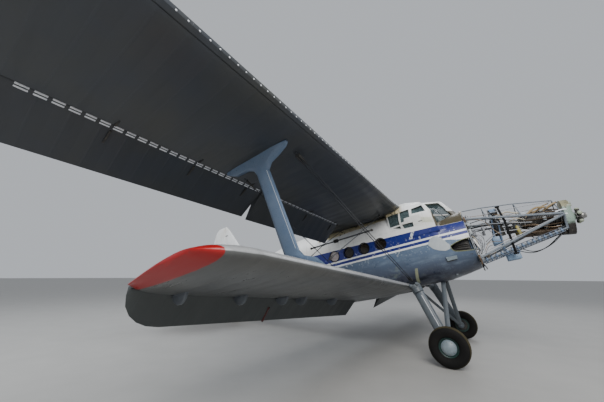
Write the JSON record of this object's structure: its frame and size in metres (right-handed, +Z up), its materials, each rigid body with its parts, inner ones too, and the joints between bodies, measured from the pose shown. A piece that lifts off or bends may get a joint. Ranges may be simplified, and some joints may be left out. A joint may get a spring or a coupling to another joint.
{
  "type": "utility biplane",
  "caption": "Large single-engine utility biplane on tailwheel gear, flaps lowered, with its cowling and propeller taken off, so that the engine mount shows.",
  "frame": {"origin": "middle of the bounding box, on the floor between the wheels", "axes": "+X towards the nose, +Y towards the left wing tip, +Z up"},
  "size_m": [12.8816, 18.152, 4.2344],
  "materials": {
    "white_paint": "satin white paint, chipped in places",
    "grey_paint": "satin silver-grey paint on fabric and metal skin",
    "strut_paint": "satin blue-grey paint",
    "steel": "bare and galvanised steel",
    "glazing": "clear acrylic",
    "dark_metal": "dark oily metal",
    "gearbox_green": "pale green primer",
    "seat_leather": "worn dark leathercloth",
    "tyre_rubber": "matt black rubber",
    "rim_paint": "dark green enamel"
  },
  "bodies": {
    "airframe": {"nose_fuselage": "white_paint", "cabin_fuselage": "white_paint", "tail_fuselage": "white_paint", "windscreen_glass": "glazing", "cockpit_side_glass_left": "glazing", "cockpit_side_glass_right": "glazing", "cabin_glazing_left": "glazing", "cabin_glazing_right": "glazing", "pilot_seat_left": "seat_leather", "pilot_seat_right": "seat_leather", "instrument_panel": "dark_metal", "wing_centre_section": "white_paint", "upper_wing_left": "grey_paint", "upper_wing_right": "grey_paint", "lower_wing_left": "grey_paint", "lower_wing_right": "grey_paint", "interplane_strut_left": "strut_paint", "interplane_strut_right": "strut_paint", "bracing_wires_left": "steel", "bracing_wires_right": "steel", "fin": "white_paint", "tailplane_left": "white_paint", "tailplane_right": "white_paint", "tailplane_strut_left": "strut_paint", "tailplane_strut_right": "strut_paint", "shock_leg_left": "strut_paint", "shock_leg_right": "strut_paint", "gear_v_frame_left": "strut_paint", "gear_v_frame_right": "strut_paint", "main_axle_left": "steel", "main_axle_right": "steel", "tail_leg": "strut_paint", "firewall": "dark_metal", "engine_mount": "steel", "engine_core": "dark_metal", "gearbox": "gearbox_green"},
    "slat_left": {"slat_left": "grey_paint"},
    "slat_right": {"slat_right": "grey_paint"},
    "upper_flap_left": {"upper_flap_left": "grey_paint"},
    "upper_flap_right": {"upper_flap_right": "grey_paint"},
    "aileron_left": {"aileron_left": "grey_paint"},
    "aileron_right": {"aileron_right": "grey_paint"},
    "lower_flap_left": {"lower_flap_left": "grey_paint"},
    "lower_flap_right": {"lower_flap_right": "grey_paint"},
    "rudder": {"rudder": "white_paint"},
    "elevators": {"elevator_left": "white_paint", "elevator_right": "white_paint"},
    "cargo_door": {"cargo_door": "white_paint"},
    "passenger_door": {"passenger_door": "white_paint"},
    "main_wheel_left": {"main_tyre_left": "tyre_rubber", "main_hub_left": "rim_paint"},
    "main_wheel_right": {"main_tyre_right": "tyre_rubber", "main_hub_right": "rim_paint"},
    "tail_swivel": {"tail_fork": "strut_paint"},
    "tail_wheel": {"tail_tyre": "tyre_rubber", "tail_hub": "rim_paint"},
    "propeller_hub": {"propeller_hub": "steel"}
  },
  "joints": [
    {"name": "main_wheel_left_spin", "type": "hinge", "parent": "airframe", "child": "main_wheel_left", "pos_m": [3.49471, 1.67, 0.4], "axis": [0, 1, 0], "continuous": true},
    {"name": "main_wheel_right_spin", "type": "hinge", "parent": "airframe", "child": "main_wheel_right", "pos_m": [3.49471, -1.67, 0.4], "axis": [0, 1, 0], "continuous": true},
    {"name": "tail_wheel_swivel", "type": "hinge", "parent": "airframe", "child": "tail_swivel", "pos_m": [-4.60091, 0, 0.5154], "axis": [-0.2052, 0, 0.9787], "continuous": true},
    {"name": "tail_wheel_spin", "type": "hinge", "parent": "tail_swivel", "child": "tail_wheel", "pos_m": [-4.69529, 0, 0.235], "axis": [0, 1, 0], "continuous": true},
    {"name": "rudder_hinge", "type": "hinge", "parent": "airframe", "child": "rudder", "pos_m": [-5.36452, 0, 2.04119], "axis": [-0.2052, 0, 0.9787], "range_deg": [-28, 28]},
    {"name": "elevator_hinge", "type": "hinge", "parent": "airframe", "child": "elevators", "pos_m": [-5.06793, 0, 1.3575], "axis": [0, 1, 0], "range_deg": [-22.5, 35]},
    {"name": "propeller_hub_spin", "type": "hinge", "parent": "airframe", "child": "propeller_hub", "pos_m": [6.24303, 0, 3.18015], "axis": [0.9988, 0, 0.0495], "continuous": true},
    {"name": "aileron_left", "type": "hinge", "parent": "airframe", "child": "aileron_left", "pos_m": [0.70257, 6.5, 3.62516], "axis": [-0.0106, 0.9987, 0.0507], "range_deg": [0, 60]},
    {"name": "aileron_right", "type": "hinge", "parent": "airframe", "child": "aileron_right", "pos_m": [0.70257, -6.5, 3.62516], "axis": [0.0106, 0.9987, -0.0507], "range_deg": [0, 60]},
    {"name": "upper_flap_left", "type": "hinge", "parent": "airframe", "child": "upper_flap_left", "pos_m": [0.73983, 3, 3.44743], "axis": [-0.0106, 0.9987, 0.0507], "range_deg": [0, 40]},
    {"name": "upper_flap_right", "type": "hinge", "parent": "airframe", "child": "upper_flap_right", "pos_m": [0.73983, -3, 3.44743], "axis": [0.0106, 0.9987, -0.0507], "range_deg": [0, 40]},
    {"name": "lower_flap_left", "type": "hinge", "parent": "airframe", "child": "lower_flap_left", "pos_m": [1.1167, 3.9, 1.43036], "axis": [-0.0161, 0.9969, 0.0766], "range_deg": [0, 40]},
    {"name": "lower_flap_right", "type": "hinge", "parent": "airframe", "child": "lower_flap_right", "pos_m": [1.1167, -3.9, 1.43036], "axis": [0.0161, 0.9969, -0.0766], "range_deg": [0, 40]},
    {"name": "slat_left_slide", "type": "slide", "parent": "airframe", "child": "slat_left", "axis": [0.9902, 0, -0.14], "range_m": [0, 0.09]},
    {"name": "slat_right_slide", "type": "slide", "parent": "airframe", "child": "slat_right", "axis": [0.9902, 0, -0.14], "range_m": [0, 0.09]},
    {"name": "cargo_door_hinge", "type": "hinge", "parent": "airframe", "child": "cargo_door", "pos_m": [-0.71714, 0.9, 2.63333], "axis": [0.9787, 0, 0.2052], "range_deg": [0, 100]},
    {"name": "passenger_door_hinge", "type": "hinge", "parent": "cargo_door", "child": "passenger_door", "pos_m": [0.07434, 0.832, 2.00639], "axis": [-0.2052, 0, 0.9787], "range_deg": [0, 95]}
  ],
  "couplings": [
    {"joint": "upper_flap_right", "follows": "upper_flap_left", "ratio": 1},
    {"joint": "lower_flap_right", "follows": "lower_flap_left", "ratio": 1}
  ]
}
